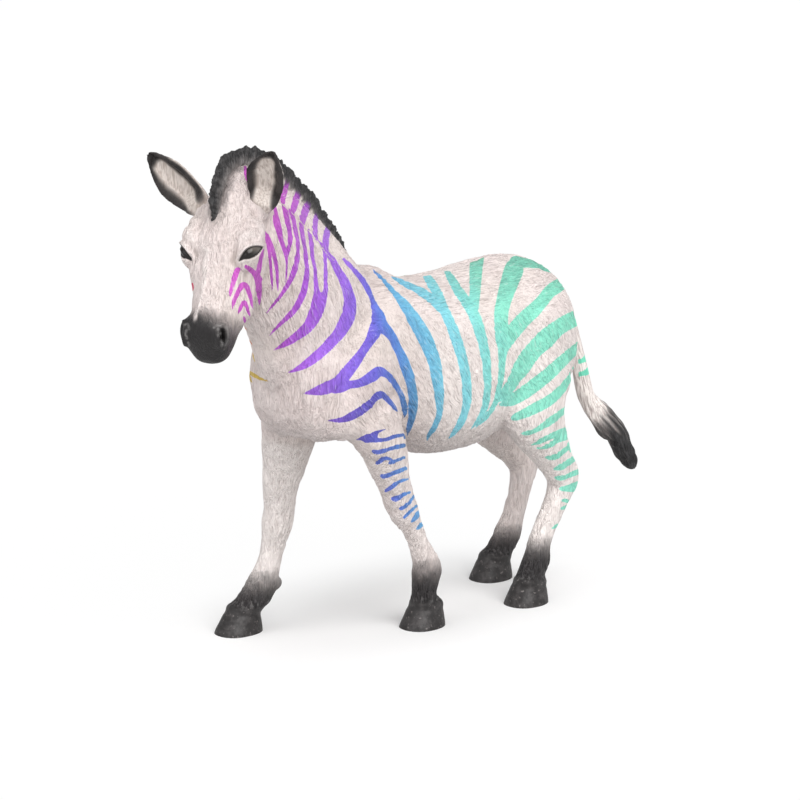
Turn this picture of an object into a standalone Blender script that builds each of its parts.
"""Toy zebra figure: a walking zebra moulded in ten solid pieces that plug together.

Units are metres, +Z is up, the animal faces -Y and its left flank is at +X. Lofts and
muscle masses are fused into one skin, which is then parted along flat seams. Every piece
that plugs into another has a round peg or a root that seats in a matching socket.
"""

import math

import bmesh
import bpy
from mathutils import Matrix, Vector

MM = 0.001

# Layout grid: places in the tables are shares of these three lengths
GRID_WIDTH = 100.0 * MM
GRID_LENGTH = 100.0 * MM
GRID_HEIGHT = 100.0 * MM

# Body sizes
TRUNK_WIDTH = 28.0 * MM
NECK_DEPTH = 25.0 * MM
NECK_WIDTH = 16.0 * MM

# Head sizes and pose
HEAD_LENGTH = 31.0 * MM
HEAD_DEPTH = 15.5 * MM
HEAD_WIDTH = 12.0 * MM
HEAD_YAW = math.radians(20.0)
HEAD_PITCH = math.radians(60.0)

# Leg and hoof sizes
CANNON_DEPTH = 4.7 * MM
CANNON_WIDTH = 3.8 * MM
HOOF_LENGTH = 8.9 * MM
HOOF_WIDTH = 7.7 * MM
HOOF_HEIGHT = 5.4 * MM

# Ears, mane and tail
EAR_LENGTH = 14.0 * MM
EAR_WIDTH = 6.9 * MM
EAR_WALL = 1.1 * MM
EAR_ROOT_DIAMETER = 3.4 * MM
MANE_HEIGHT = 4.0 * MM
MANE_THICKNESS = 3.0 * MM
TAIL_THICKNESS = 3.4 * MM

# Joining features
CLEARANCE = 0.3 * MM
PEG_LENGTH = 3.0 * MM
LEG_PEG_DIAMETER = 3.6 * MM
NECK_PEG_DIAMETER = 7.0 * MM
CREST_PEG_DIAMETER = 2.0 * MM
ROOT_DEPTH = 1.6 * MM
CUTTER_REACH = 80.0 * MM

# Surface resolution
SKIN_VOXEL = 0.5 * MM
SKIN_SMOOTHING_STEPS = 14
SKIN_TRIANGLE_COUNT = 8000
RING_POINTS = 48
EAR_POINTS = 16
TAIL_POINTS = 14
LOFT_STEPS = 4
PEG_SEGMENTS = 20

UP = Vector((0.0, 0.0, 1.0))
ACROSS = Vector((1.0, 0.0, 0.0))
ALONG = Vector((0.0, 1.0, 0.0))

TRUNK_WIDEST_SHARE = 0.46
NECK_SQUARENESS = 1.9
HEAD_SQUARENESS = 2.1
HOOF_SQUARENESS = 2.2

# Trunk rows: place along the body, back line, belly line, half width share, squareness
TRUNK_SHARES = (
    (-0.297, 0.570, 0.480, 0.12, 2.0),
    (-0.288, 0.610, 0.450, 0.26, 2.0),
    (-0.262, 0.650, 0.422, 0.36, 2.0),
    (-0.215, 0.690, 0.406, 0.40, 2.0),
    (-0.150, 0.722, 0.402, 0.430, 1.9),
    (-0.090, 0.726, 0.390, 0.440, 1.9),
    (-0.020, 0.702, 0.362, 0.460, 2.0),
    (0.060, 0.680, 0.334, 0.490, 2.1),
    (0.140, 0.675, 0.326, 0.500, 2.1),
    (0.210, 0.681, 0.332, 0.485, 2.1),
    (0.280, 0.687, 0.357, 0.460, 2.0),
    (0.340, 0.684, 0.400, 0.445, 2.0),
    (0.390, 0.668, 0.435, 0.415, 2.0),
    (0.425, 0.640, 0.460, 0.350, 2.0),
    (0.450, 0.605, 0.485, 0.230, 2.0),
    (0.463, 0.560, 0.510, 0.090, 2.0),
)

# Neck rows: centre, then dorsal, throat and half width shares
NECK_SHARES = (
    (0.000, -0.110, 0.550, 0.68, 0.68, 0.69),
    (0.000, -0.180, 0.620, 0.58, 0.66, 0.63),
    (0.002, -0.240, 0.685, 0.52, 0.52, 0.57),
    (0.006, -0.300, 0.750, 0.47, 0.44, 0.49),
    (0.010, -0.350, 0.805, 0.42, 0.37, 0.43),
    (0.010, -0.385, 0.835, 0.38, 0.29, 0.37),
)

# Head rows: place along the head, then dorsal, jaw and half width shares
POLL_SHARES = (0.010, -0.395, 0.870)
HEAD_SHARES = (
    (-0.20, 0.22, 0.20, 0.24),
    (-0.10, 0.36, 0.38, 0.34),
    (0.02, 0.37, 0.54, 0.41),
    (0.14, 0.35, 0.65, 0.49),
    (0.26, 0.34, 0.71, 0.56),
    (0.37, 0.31, 0.70, 0.51),
    (0.49, 0.28, 0.61, 0.43),
    (0.61, 0.26, 0.51, 0.38),
    (0.72, 0.25, 0.46, 0.37),
    (0.80, 0.24, 0.45, 0.41),
    (0.85, 0.17, 0.42, 0.41),
    (0.89, 0.06, 0.38, 0.37),
    (0.92, -0.04, 0.32, 0.30),
    (0.945, -0.11, 0.25, 0.19),
)

HEAD_WIDEST_SHARE = 0.42

# Head masses: along, dorsal and lateral places, then their three radii
HEAD_MASS_SHARES = (
    (0.17, -0.27, 0.32, 0.20, 0.35, 0.20),
    (0.27, 0.12, 0.45, 0.17, 0.20, 0.20),
    (0.80, 0.02, 0.25, 0.09, 0.15, 0.17),
    (0.60, 0.02, 0.18, 0.22, 0.16, 0.15),
)

# Muscle masses on each flank: place, then radii across, along and up, and the lean
SHOULDER_SHARES = (
    (0.084, -0.165, 0.520, 0.050, 0.079, 0.132, -22.0),
    (0.050, -0.212, 0.490, 0.060, 0.077, 0.086, 0.0),
    (0.088, -0.140, 0.448, 0.048, 0.070, 0.060, 10.0),
)
HAUNCH_SHARES = (
    (0.072, 0.325, 0.525, 0.065, 0.099, 0.101, 0.0),
    (0.090, 0.270, 0.430, 0.047, 0.073, 0.086, 20.0),
    (0.056, 0.375, 0.510, 0.066, 0.074, 0.100, 0.0),
)

# Leg rows: centre, then depth and width as shares of the cannon
FRONT_LEFT_SHARES = (
    (0.085, -0.150, 0.460, 3.00, 2.50),
    (0.085, -0.135, 0.420, 2.90, 2.60),
    (0.086, -0.111, 0.388, 2.35, 2.35),
    (0.085, -0.089, 0.348, 1.80, 1.90),
    (0.082, -0.071, 0.313, 1.42, 1.50),
    (0.075, -0.049, 0.272, 1.35, 1.45),
    (0.073, -0.032, 0.243, 1.25, 1.30),
    (0.070, -0.009, 0.211, 0.95, 0.95),
    (0.065, 0.024, 0.154, 1.00, 1.00),
    (0.060, 0.043, 0.114, 1.40, 1.35),
    (0.054, 0.042, 0.074, 1.10, 1.15),
    (0.048, 0.046, 0.035, 1.25, 1.45),
)
FRONT_RIGHT_SHARES = (
    (-0.085, -0.170, 0.460, 3.00, 2.50),
    (-0.092, -0.168, 0.420, 2.70, 2.50),
    (-0.105, -0.164, 0.375, 2.35, 2.35),
    (-0.117, -0.161, 0.335, 2.00, 2.05),
    (-0.130, -0.160, 0.285, 1.60, 1.65),
    (-0.140, -0.155, 0.238, 1.35, 1.40),
    (-0.148, -0.154, 0.204, 1.38, 1.45),
    (-0.155, -0.156, 0.170, 1.10, 1.15),
    (-0.162, -0.160, 0.135, 1.08, 1.05),
    (-0.168, -0.167, 0.104, 1.25, 1.20),
    (-0.171, -0.178, 0.078, 1.45, 1.35),
    (-0.173, -0.203, 0.056, 1.25, 1.25),
    (-0.175, -0.222, 0.033, 1.40, 1.50),
)
HIND_LEFT_SHARES = (
    (0.088, 0.310, 0.500, 4.00, 2.60),
    (0.096, 0.290, 0.430, 3.70, 2.50),
    (0.103, 0.305, 0.375, 2.90, 2.35),
    (0.101, 0.342, 0.320, 2.05, 1.90),
    (0.098, 0.376, 0.272, 1.60, 1.50),
    (0.095, 0.397, 0.238, 1.55, 1.40),
    (0.092, 0.382, 0.196, 1.10, 1.15),
    (0.090, 0.347, 0.141, 1.08, 1.05),
    (0.089, 0.332, 0.106, 1.15, 1.15),
    (0.089, 0.326, 0.083, 1.35, 1.25),
    (0.089, 0.311, 0.060, 1.20, 1.25),
    (0.089, 0.302, 0.035, 1.30, 1.50),
)
HIND_RIGHT_SHARES = (
    (-0.088, 0.330, 0.500, 4.00, 2.60),
    (-0.094, 0.315, 0.430, 3.50, 2.50),
    (-0.092, 0.345, 0.370, 2.75, 2.30),
    (-0.088, 0.400, 0.310, 2.05, 1.90),
    (-0.082, 0.452, 0.260, 1.60, 1.50),
    (-0.080, 0.475, 0.225, 1.50, 1.40),
    (-0.080, 0.471, 0.188, 1.10, 1.15),
    (-0.082, 0.460, 0.150, 1.05, 1.05),
    (-0.083, 0.446, 0.113, 1.10, 1.10),
    (-0.084, 0.434, 0.085, 1.35, 1.25),
    (-0.084, 0.412, 0.058, 1.20, 1.25),
    (-0.084, 0.392, 0.033, 1.35, 1.50),
)

# Hoof rings: how far back and how high each ring sits, then its length and width
HOOF_SHARES = (
    (0.16, 1.10, 0.60, 0.66),
    (0.12, 0.92, 0.76, 0.80),
    (0.07, 0.55, 0.86, 0.88),
    (0.00, 0.00, 1.00, 1.00),
    (-0.01, -0.20, 1.02, 1.02),
)
HOOF_PLACE_SHARES = {
    "front_leg_left": (0.046, 0.046, 0.0),
    "front_leg_right": (-0.180, -0.225, 0.0),
    "hind_leg_left": (0.084, 0.304, 0.0),
    "hind_leg_right": (-0.088, 0.389, 0.0),
}
LEG_TABLES = {
    "front_leg_left": FRONT_LEFT_SHARES,
    "front_leg_right": FRONT_RIGHT_SHARES,
    "hind_leg_left": HIND_LEFT_SHARES,
    "hind_leg_right": HIND_RIGHT_SHARES,
}

# Leg seams: each is a line in side view, as two places along and up the body
LEG_SEAM_SHARES = {
    "front": ((-0.320, 0.411), (0.130, 0.308)),
    "hind": ((0.150, 0.289), (0.620, 0.482)),
}
LEG_PEG_SHARES = {
    "front_leg_left": (0.084, -0.103),
    "front_leg_right": (-0.107, -0.164),
    "hind_leg_left": (0.102, 0.318),
    "hind_leg_right": (-0.092, 0.348),
}
LEG_SPLIT_SHARES = {"front": -0.030, "hind": -0.002}
GROUND_SHARE = -0.050

# Neck seam: a point with the direction that the seam faces
NECK_SEAM_SHARES = (0.0, -0.210, 0.653)
NECK_SEAM_FACING = Vector((0.0, -0.68, 0.733))

# Crest seam in side view: front step, hairline, rear step, and two places above the neck
CREST_SHARES = (
    (-0.370, 0.912),
    (-0.224, 0.746),
    (-0.125, 0.780),
    (-0.125, 1.200),
    (-0.370, 1.200),
)
CREST_SEAM_FACING = Vector((0.0, 0.751, 0.660))
CREST_PEG_SHARES = ((0.006, -0.320, 0.855), (0.001, -0.250, 0.776))

# Mane rows: root on the crest, then height and thickness shares and the lean of the hair
MANE_SHARES = (
    (0.000, -0.138, 0.757, 0.22, 0.45, 0.55),
    (0.000, -0.155, 0.772, 0.55, 0.75, 0.62),
    (0.000, -0.183, 0.797, 0.78, 0.95, 0.62),
    (0.000, -0.220, 0.833, 0.95, 1.00, 0.55),
    (0.002, -0.258, 0.866, 0.92, 1.00, 0.45),
    (0.004, -0.302, 0.898, 0.94, 1.00, 0.30),
    (0.007, -0.350, 0.925, 0.90, 1.00, 0.12),
    (0.010, -0.395, 0.935, 0.72, 0.95, -0.25),
    (0.014, -0.428, 0.922, 0.62, 0.90, -0.75),
    (0.018, -0.446, 0.893, 0.50, 0.80, -1.20),
    (0.022, -0.456, 0.860, 0.34, 0.60, -1.30),
    (0.025, -0.462, 0.836, 0.16, 0.35, -1.30),
)

# Hair section: half thickness shares across, then shares of the height or the root depth
MANE_SECTION_SHARES = (
    (-0.70, -1.00),
    (0.70, -1.00),
    (1.00, -0.50),
    (1.00, 0.30),
    (0.85, 0.62),
    (0.50, 0.90),
    (0.00, 1.00),
    (-0.50, 0.90),
    (-0.85, 0.62),
    (-1.00, 0.30),
    (-1.00, -0.50),
)

# Ears: root, length share, the way that the ear points and the way that its cup opens
EAR_TABLE = {
    "ear_left": ((0.062, -0.392, 0.868), 0.86, (0.45, -0.22, 0.87), (0.50, -0.85, 0.0)),
    "ear_right": ((-0.057, -0.412, 0.848), 1.00, (-0.61, -0.38, 0.69), (0.30, -0.95, 0.0)),
}
EAR_SHARES = (
    (0.00, 0.56, 0.34),
    (0.10, 0.66, 0.38),
    (0.22, 0.80, 0.40),
    (0.36, 0.93, 0.39),
    (0.50, 1.00, 0.37),
    (0.64, 0.97, 0.33),
    (0.78, 0.80, 0.28),
    (0.90, 0.52, 0.22),
    (0.97, 0.28, 0.16),
    (1.00, 0.10, 0.10),
)

EAR_CUP_SHARE = 0.15
EAR_FRONT_SHARE = 0.6

# Tail rows: centre, then thickness share
TAIL_SHARES = (
    (0.004, 0.440, 0.610, 0.80),
    (0.004, 0.466, 0.603, 0.84),
    (0.006, 0.490, 0.577, 0.92),
    (0.009, 0.510, 0.533, 0.96),
    (0.014, 0.526, 0.485, 1.00),
    (0.019, 0.539, 0.440, 1.05),
    (0.025, 0.552, 0.385, 1.20),
    (0.035, 0.571, 0.335, 1.45),
    (0.046, 0.596, 0.290, 1.55),
    (0.056, 0.617, 0.252, 1.35),
    (0.066, 0.636, 0.224, 0.80),
    (0.071, 0.646, 0.212, 0.30),
)

TAIL_SOCKET_STEPS = 5

COAT = (0.72, 0.68, 0.65, 1.0)
DARK = (0.10, 0.095, 0.10, 1.0)


def clear_scene():
    """Remove everything that the start-up file holds."""
    for obj in list(bpy.data.objects):
        bpy.data.objects.remove(obj, do_unlink=True)


def place(shares):
    """A point of the layout grid."""
    return Vector((shares[0] * GRID_WIDTH, shares[1] * GRID_LENGTH, shares[2] * GRID_HEIGHT))


def smooth_rows(rows, steps=LOFT_STEPS):
    """Rows of a table with in-between rows added along a Catmull-Rom curve."""
    found = []
    last = len(rows) - 1
    for index in range(last):
        before = rows[max(index - 1, 0)]
        here = rows[index]
        there = rows[index + 1]
        after = rows[min(index + 2, last)]
        for step in range(steps):
            t = step / steps
            row = []
            for a, b, c, d in zip(before, here, there, after):
                linear = (c - a) * t
                square = (2 * a - 5 * b + 4 * c - d) * t * t
                cube = (3 * b - a - 3 * c + d) * t * t * t
                row.append(b + (linear + square + cube) / 2)
            found.append(tuple(row))
    found.append(tuple(rows[-1]))
    return found


def ring(centre, across, up, half_across, half_up, half_down, power=2.0, count=RING_POINTS):
    """A closed superellipse whose upper and lower halves can differ."""
    points = []
    for index in range(count):
        angle = 2 * math.pi * index / count
        c = math.cos(angle)
        s = math.sin(angle)
        side = math.copysign(abs(c) ** (2 / power), c) * half_across
        rise = math.copysign(abs(s) ** (2 / power), s)
        rise *= half_up if s > 0 else half_down
        points.append(centre + across * side + up * rise)
    return points


def solid_from_rings(name, rings):
    """A closed mesh through the rings, with a fan at each end."""
    mesh = bmesh.new()
    rows = [[mesh.verts.new(point) for point in points] for points in rings]
    count = len(rings[0])
    for low, high in zip(rows, rows[1:]):
        for index in range(count):
            after = (index + 1) % count
            mesh.faces.new((low[index], low[after], high[after], high[index]))
    for row in (rows[0], rows[-1]):
        middle = mesh.verts.new(sum((vert.co for vert in row), Vector()) / count)
        for index in range(count):
            mesh.faces.new((row[index], row[(index + 1) % count], middle))
    return object_from(name, mesh)


def object_from(name, mesh):
    """Put a bmesh in the scene as an object whose faces point outward."""
    bmesh.ops.triangulate(mesh, faces=mesh.faces)
    bmesh.ops.recalc_face_normals(mesh, faces=mesh.faces)
    if mesh.calc_volume(signed=True) < 0:
        bmesh.ops.reverse_faces(mesh, faces=mesh.faces)
    data = bpy.data.meshes.new(name)
    mesh.to_mesh(data)
    mesh.free()
    obj = bpy.data.objects.new(name, data)
    bpy.context.scene.collection.objects.link(obj)
    return obj


def ellipsoid(name, centre, axes, radii):
    """A muscle mass: a ball stretched along three directions."""
    mesh = bmesh.new()
    bmesh.ops.create_icosphere(mesh, subdivisions=3, radius=1.0)
    for vert in mesh.verts:
        point = vert.co.copy()
        vert.co = centre.copy()
        for axis, radius, part in zip(axes, radii, point):
            vert.co += axis * (radius * part)
    return object_from(name, mesh)


def tube(name, rows, depth, width, grow=0.0, count=RING_POINTS):
    """A limb or tail: rings square to a smooth path, as deep and wide as each row says."""
    path = [place(row) for row in rows]
    rings = []
    for index, row in enumerate(rows):
        before = path[max(index - 1, 0)]
        after = path[min(index + 1, len(path) - 1)]
        along = (after - before).normalized()
        across = (ACROSS - along * along.dot(ACROSS)).normalized()
        fore = along.cross(across)
        half_depth = row[3] * depth / 2 + grow
        half_width = row[-1] * width / 2 + grow
        sizes = (half_width, half_depth, half_depth)
        rings.append(ring(path[index], across, fore, *sizes, count=count))
    return solid_from_rings(name, rings)


def trunk():
    """The barrel of the body, with the widest part below its middle."""
    rings = []
    for along, back, belly, half, power in smooth_rows(TRUNK_SHARES):
        middle = belly + (back - belly) * TRUNK_WIDEST_SHARE
        half_width = half * TRUNK_WIDTH
        up = (back - middle) * GRID_HEIGHT
        down = (middle - belly) * GRID_HEIGHT
        rings.append(ring(place((0.0, along, middle)), ACROSS, UP, half_width, up, down, power))
    return solid_from_rings("trunk_form", rings)


def neck():
    """The neck, deep at the withers and narrow behind the jaw."""
    rows = smooth_rows(NECK_SHARES)
    path = [place(row) for row in rows]
    rings = []
    for index, row in enumerate(rows):
        before = path[max(index - 1, 0)]
        after = path[min(index + 1, len(path) - 1)]
        along = (after - before).normalized()
        across = (ACROSS - along * along.dot(ACROSS)).normalized()
        dorsal = along.cross(across)
        if dorsal.y < 0:
            dorsal.negate()
        rings.append(
            ring(
                path[index],
                across,
                dorsal,
                row[5] * NECK_WIDTH,
                row[3] * NECK_DEPTH,
                row[4] * NECK_DEPTH,
                NECK_SQUARENESS,
            )
        )
    return solid_from_rings("neck_form", rings)


def head_axes():
    """The head's own directions: along the face, toward the forehead, and to its left."""
    forward = Vector((math.sin(HEAD_YAW), -math.cos(HEAD_YAW), 0.0))
    along = forward * math.cos(HEAD_PITCH) - UP * math.sin(HEAD_PITCH)
    dorsal = forward * math.sin(HEAD_PITCH) + UP * math.cos(HEAD_PITCH)
    left = Vector((math.cos(HEAD_YAW), math.sin(HEAD_YAW), 0.0))
    return along, dorsal, left


def head():
    """The skull, with cheeks, brows, the bridge of the nose and nostril wings."""
    along, dorsal, left = head_axes()
    poll = place(POLL_SHARES)
    rings = []
    for row in smooth_rows(HEAD_SHARES):
        depth = row[1] + row[2]
        centre = poll + along * (row[0] * HEAD_LENGTH)
        centre += dorsal * ((row[1] - depth * HEAD_WIDEST_SHARE) * HEAD_DEPTH)
        up = depth * HEAD_WIDEST_SHARE * HEAD_DEPTH
        down = depth * (1 - HEAD_WIDEST_SHARE) * HEAD_DEPTH
        half_width = row[3] * HEAD_WIDTH
        rings.append(ring(centre, left, dorsal, half_width, up, down, HEAD_SQUARENESS))
    forms = [solid_from_rings("head_form", rings)]
    for index, row in enumerate(HEAD_MASS_SHARES):
        for side in (1, -1):
            centre = poll + along * (row[0] * HEAD_LENGTH)
            centre += dorsal * (row[1] * HEAD_DEPTH)
            centre += left * (side * row[2] * HEAD_WIDTH)
            radii = (row[3] * HEAD_LENGTH, row[4] * HEAD_DEPTH, row[5] * HEAD_WIDTH)
            name = f"head_mass_form_{index}_{side}"
            forms.append(ellipsoid(name, centre, (along, dorsal, left), radii))
    return forms


def muscles():
    """Shoulder, breast and haunch masses on both flanks."""
    forms = []
    for index, row in enumerate(SHOULDER_SHARES + HAUNCH_SHARES):
        turn = Matrix.Rotation(math.radians(row[6]), 3, "X")
        for side in (1, -1):
            centre = place((side * row[0], row[1], row[2]))
            axes = (ACROSS, turn @ ALONG, turn @ UP)
            name = f"muscle_form_{index}_{side}"
            forms.append(ellipsoid(name, centre, axes, place(row[3:6])))
    return forms


def hoof(name, centre_shares):
    """A hoof: level rings that widen down to the ground, the sole cut flat later."""
    rings = []
    ground = place(centre_shares)
    for back, rise, length, width in HOOF_SHARES:
        centre = ground + Vector((0.0, back * HOOF_LENGTH, rise * HOOF_HEIGHT))
        half_width = width * HOOF_WIDTH / 2
        half_length = length * HOOF_LENGTH / 2
        sizes = (half_width, half_length, half_length)
        rings.append(ring(centre, ACROSS, ALONG, *sizes, HOOF_SQUARENESS))
    return solid_from_rings(name, rings)


def baked(obj, name):
    """The object's evaluated mesh as an object of its own; the first is removed."""
    graph = bpy.context.evaluated_depsgraph_get()
    graph.update()
    data = bpy.data.meshes.new_from_object(obj.evaluated_get(graph))
    bpy.data.objects.remove(obj, do_unlink=True)
    found = bpy.data.objects.new(name, data)
    bpy.context.scene.collection.objects.link(found)
    return found


def fused_skin(forms):
    """All forms melted into one closed skin, smoothed and thinned to a set face count."""
    mesh = bmesh.new()
    for form in forms:
        mesh.from_mesh(form.data)
        bpy.data.objects.remove(form, do_unlink=True)
    obj = object_from_raw("fused_form", mesh)
    remesh = obj.modifiers.new("fuse", "REMESH")
    remesh.mode = "VOXEL"
    remesh.voxel_size = SKIN_VOXEL
    remesh.adaptivity = 0.0
    smooth = obj.modifiers.new("soften", "SMOOTH")
    smooth.factor = 0.5
    smooth.iterations = SKIN_SMOOTHING_STEPS
    obj = baked(obj, "smooth_form")
    fine = sum(len(face.vertices) - 2 for face in obj.data.polygons)
    thin = obj.modifiers.new("thin", "DECIMATE")
    thin.ratio = SKIN_TRIANGLE_COUNT / fine
    return baked(obj, "skin_form")


def object_from_raw(name, mesh):
    """Put a bmesh in the scene as it is."""
    data = bpy.data.meshes.new(name)
    mesh.to_mesh(data)
    mesh.free()
    obj = bpy.data.objects.new(name, data)
    bpy.context.scene.collection.objects.link(obj)
    return obj


def copy_of(obj, name):
    """A copy with a mesh of its own."""
    found = bpy.data.objects.new(name, obj.data.copy())
    bpy.context.scene.collection.objects.link(found)
    return found


def combined(obj, other, operation):
    """The object after one exact Boolean; the other object is used up."""
    name = obj.name
    obj.name = name + "_before"
    step = obj.modifiers.new(operation.lower(), "BOOLEAN")
    step.operation = operation
    step.solver = "EXACT"
    step.object = other
    found = baked(obj, name)
    bpy.data.objects.remove(other, do_unlink=True)
    return found


def prism(name, outline, low, high):
    """A side-view outline, given as along and up pairs, extruded across the body."""
    mesh = bmesh.new()
    near = [mesh.verts.new((low, along, up)) for along, up in outline]
    far = [mesh.verts.new((high, along, up)) for along, up in outline]
    mesh.faces.new(near)
    mesh.faces.new(far)
    for index in range(len(outline)):
        after = (index + 1) % len(outline)
        mesh.faces.new((near[index], near[after], far[after], far[index]))
    return object_from(name, mesh)


def grown(outline, gap):
    """The outline, run anticlockwise, with every side moved outward by the gap."""
    found = []
    for index, point in enumerate(outline):
        here = Vector(point)
        before = (here - Vector(outline[index - 1])).normalized()
        after = (Vector(outline[(index + 1) % len(outline)]) - here).normalized()
        out_before = Vector((before.y, -before.x))
        out_after = Vector((after.y, -after.x))
        mitre = (out_before + out_after).normalized()
        found.append(tuple(here + mitre * (gap / mitre.dot(out_before))))
    return found


def side_view(shares):
    """Places along and up the body as lengths."""
    return [(along * GRID_LENGTH, up * GRID_HEIGHT) for along, up in shares]


def beyond(name, point, facing, lift):
    """A large block on the far side of a flat seam, its face moved by the lift."""
    facing = facing.normalized()
    along = facing.cross(ACROSS).normalized()
    origin = point + facing * lift
    corners = []
    for slide, rise in ((-1, 0), (1, 0), (1, 1), (-1, 1)):
        corner = origin + along * (slide * CUTTER_REACH) + facing * (rise * CUTTER_REACH)
        corners.append((corner.y, corner.z))
    return prism(name, corners, -CUTTER_REACH, CUTTER_REACH)


def peg(name, foot, facing, diameter, below, above):
    """A round bar along the facing, from below the foot to above it."""
    facing = facing.normalized()
    turn = facing.to_track_quat("Z", "Y").to_matrix().to_4x4()
    mesh = bmesh.new()
    bmesh.ops.create_cone(
        mesh,
        cap_ends=True,
        segments=PEG_SEGMENTS,
        radius1=diameter / 2,
        radius2=diameter / 2,
        depth=below + above,
        matrix=Matrix.Translation(foot + facing * ((above - below) / 2)) @ turn,
    )
    return object_from(name, mesh)


def pegged(piece, body, foot, facing, diameter):
    """Add a peg to the piece and cut its socket in the body."""
    bar = peg("peg_form", foot, facing, diameter, PEG_LENGTH, PEG_LENGTH)
    bore = peg(
        "socket_form",
        foot,
        facing,
        diameter + 2 * CLEARANCE,
        PEG_LENGTH / 2,
        PEG_LENGTH + CLEARANCE,
    )
    return combined(piece, bar, "UNION"), combined(body, bore, "DIFFERENCE")


def leg_block(name, pair, side, gap):
    """The space that one leg takes up below its seam, grown by the gap."""
    (front, front_up), (rear, rear_up) = LEG_SEAM_SHARES[pair]
    inner = LEG_SPLIT_SHARES[pair] * GRID_WIDTH - side * gap
    outer = side * CUTTER_REACH
    outline = ((front, GROUND_SHARE), (rear, GROUND_SHARE), (rear, rear_up), (front, front_up))
    outline = side_view(outline)
    return prism(name, grown(outline, gap), min(inner, outer), max(inner, outer))


def seam_point(pair, x_share, y_share):
    """The place on a leg seam at these shares, with the way that the seam faces."""
    (front, front_up), (rear, rear_up) = LEG_SEAM_SHARES[pair]
    along = (y_share - front) / (rear - front)
    point = place((x_share, y_share, front_up + (rear_up - front_up) * along))
    slope = place((0.0, rear, rear_up)) - place((0.0, front, front_up))
    facing = slope.cross(ACROSS).normalized()
    if facing.z < 0:
        facing.negate()
    return point, facing


def mane_form(name, grow):
    """The standing hair, its root sunk below the crest by the root depth."""
    rows = smooth_rows(MANE_SHARES, 2)
    path = [place(row) for row in rows]
    rings = []
    for index, row in enumerate(rows):
        before = path[max(index - 1, 0)]
        after = path[min(index + 1, len(path) - 1)]
        along = (after - before).normalized()
        across = (ACROSS - along * along.dot(ACROSS)).normalized()
        outward = across.cross(along)
        if outward.dot(Vector((0.0, row[5], 1.0))) < 0:
            outward.negate()
        half = row[4] * MANE_THICKNESS / 2 + grow
        top = row[3] * MANE_HEIGHT + grow
        low = ROOT_DEPTH + grow
        points = []
        for side, rise in MANE_SECTION_SHARES:
            reach = rise * (top if rise > 0 else low)
            points.append(path[index] + across * (side * half) + outward * reach)
        rings.append(points)
    return solid_from_rings(name, rings)


def ear_form(name, root, length, along, opening, grow=0.0):
    """A cupped leaf, open toward the given direction. Grown, it is solid, for a pocket."""
    back = -Vector(opening)
    back = (back - along * along.dot(back)).normalized()
    across = along.cross(back)
    half_count = EAR_POINTS // 2 + 1
    rings = []
    for share, width, bulge in smooth_rows(EAR_SHARES, 2):
        centre = root + along * (share * length)
        if share == 0:
            centre -= along * grow
        half = width * EAR_WIDTH / 2 + grow
        deep = bulge * EAR_WIDTH + grow
        front = bulge * EAR_WIDTH * EAR_FRONT_SHARE + grow
        ramp = (share - EAR_CUP_SHARE) / EAR_CUP_SHARE
        hollow = 0.0 if grow else max(0.0, min(1.0, ramp))
        wall = min(EAR_WALL, half / 2, deep / 2)
        points = []
        for index in range(half_count):
            angle = math.pi * index / (half_count - 1)
            side = math.cos(angle) * half
            points.append(centre + across * side + back * (math.sin(angle) * deep))
        for index in range(1, half_count - 1):
            angle = math.pi - math.pi * index / (half_count - 1)
            c = math.cos(angle)
            s = math.sin(angle)
            cup = across * (c * (half - wall)) + back * (s * (deep - wall))
            full = across * (c * half) - back * (s * front)
            points.append(centre + cup * hollow + full * (1 - hollow))
        rings.append(points)
    return solid_from_rings(name, rings)


def finish(obj, name, colour):
    """Name the piece, shade it smooth and give it its own material."""
    obj.name = name
    obj.data.name = name
    obj.data.materials.clear()
    material = bpy.data.materials.new(name)
    material.use_nodes = True
    shader = material.node_tree.nodes["Principled BSDF"]
    shader.inputs["Base Color"].default_value = colour
    shader.inputs["Roughness"].default_value = 0.5
    obj.data.materials.append(material)
    for face in obj.data.polygons:
        face.use_smooth = True


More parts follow.
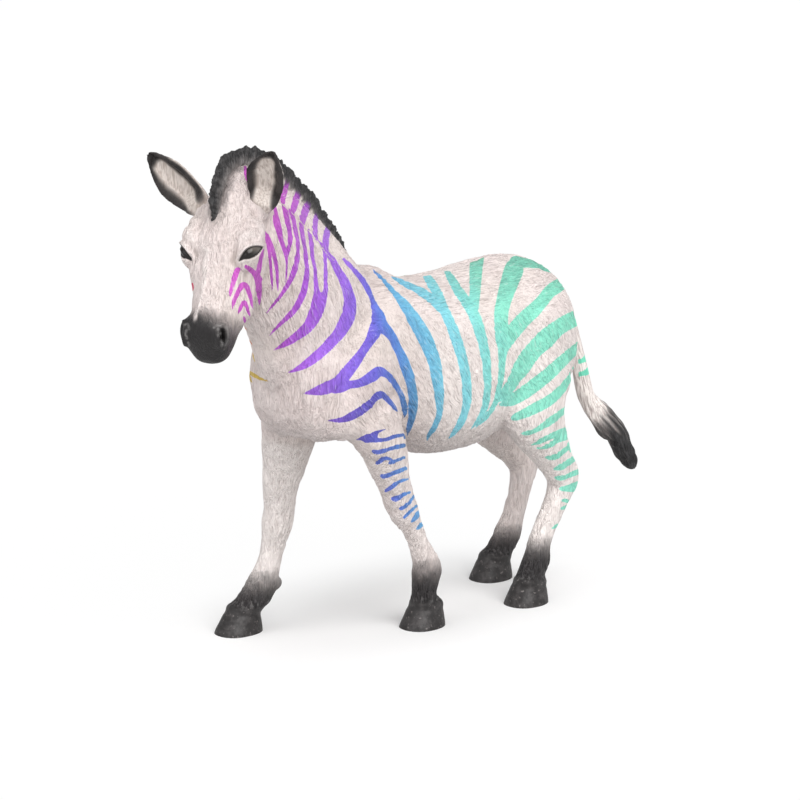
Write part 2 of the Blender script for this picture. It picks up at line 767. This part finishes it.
def main():
    clear_scene()
    forms = [trunk(), neck()] + head() + muscles()
    for name, table in LEG_TABLES.items():
        forms.append(tube(name + "_form", smooth_rows(table), CANNON_DEPTH, CANNON_WIDTH))
        forms.append(hoof(name + "_hoof_form", HOOF_PLACE_SHARES[name]))
    skin = fused_skin(forms)
    low = GROUND_SHARE * GRID_HEIGHT
    reach = CUTTER_REACH
    below = ((-reach, low), (reach, low), (reach, 0), (-reach, 0))
    ground = prism("ground_block", below, -CUTTER_REACH, CUTTER_REACH)
    skin = combined(skin, ground, "DIFFERENCE")

    neck_point = place(NECK_SEAM_SHARES)
    neck_block = beyond("neck_block", neck_point, NECK_SEAM_FACING, 0.0)
    head_piece = combined(copy_of(skin, "head_piece"), neck_block, "INTERSECT")
    torso = copy_of(skin, "torso_piece")
    neck_gap = beyond("neck_gap", neck_point, NECK_SEAM_FACING, -CLEARANCE)
    torso = combined(torso, neck_gap, "DIFFERENCE")
    head_piece, torso = pegged(
        head_piece, torso, neck_point, -NECK_SEAM_FACING, NECK_PEG_DIAMETER
    )

    pieces = {}
    for name in LEG_TABLES:
        pair = name.split("_")[0]
        side = 1 if name.endswith("left") else -1
        block = leg_block("leg_block", pair, side, 0.0)
        leg = combined(copy_of(skin, name + "_piece"), block, "INTERSECT")
        torso = combined(torso, leg_block("leg_gap", pair, side, CLEARANCE), "DIFFERENCE")
        foot, facing = seam_point(pair, *LEG_PEG_SHARES[name])
        leg, torso = pegged(leg, torso, foot, facing, LEG_PEG_DIAMETER)
        pieces[name] = leg

    crest = side_view(CREST_SHARES)
    crest_block = prism("crest_block", crest, -CUTTER_REACH, CUTTER_REACH)
    mane = combined(copy_of(head_piece, "mane_piece"), crest_block, "INTERSECT")
    mane = combined(mane, mane_form("mane_hair", 0.0), "UNION")
    crest_gap = prism("crest_gap", grown(crest, CLEARANCE), -CUTTER_REACH, CUTTER_REACH)
    head_piece = combined(head_piece, crest_gap, "DIFFERENCE")
    head_piece = combined(head_piece, mane_form("mane_groove", CLEARANCE), "DIFFERENCE")
    for shares in CREST_PEG_SHARES:
        mane, head_piece = pegged(
            mane, head_piece, place(shares), -CREST_SEAM_FACING, CREST_PEG_DIAMETER
        )

    for name, (root_shares, length_share, pointing, opening) in EAR_TABLE.items():
        root = place(root_shares)
        length = length_share * EAR_LENGTH
        along = Vector(pointing).normalized()
        ear = ear_form(name + "_piece", root, length, along, opening)
        stem = peg("ear_root", root, along, EAR_ROOT_DIAMETER, ROOT_DEPTH, ROOT_DEPTH)
        pocket = peg(
            "ear_socket",
            root,
            along,
            EAR_ROOT_DIAMETER + 2 * CLEARANCE,
            ROOT_DEPTH + CLEARANCE,
            ROOT_DEPTH * 2,
        )
        pieces[name] = combined(ear, stem, "UNION")
        head_piece = combined(head_piece, pocket, "DIFFERENCE")
        seat = ear_form("ear_seat", root, length, along, opening, CLEARANCE)
        head_piece = combined(head_piece, seat, "DIFFERENCE")

    rows = smooth_rows(TAIL_SHARES, 2)
    thick = (TAIL_THICKNESS, TAIL_THICKNESS)
    tail = tube("tail_piece", rows, *thick, count=TAIL_POINTS)
    socket = tube("tail_socket", rows[:TAIL_SOCKET_STEPS], *thick, CLEARANCE, TAIL_POINTS)
    torso = combined(torso, socket, "DIFFERENCE")

    pieces["torso"] = torso
    pieces["head_and_neck"] = head_piece
    pieces["mane"] = mane
    pieces["tail"] = tail
    bpy.data.objects.remove(skin, do_unlink=True)
    for name, piece in pieces.items():
        finish(piece, name, DARK if name in ("mane", "tail") else COAT)
    settle(pieces.values())


def settle(pieces):
    """Move the whole figure so that the middle of its footprint is at the origin."""
    points = [vert.co for piece in pieces for vert in piece.data.vertices]
    middle = Vector()
    for axis in (0, 1):
        middle[axis] = (min(p[axis] for p in points) + max(p[axis] for p in points)) / 2
    for piece in pieces:
        piece.data.transform(Matrix.Translation(-middle))


main()
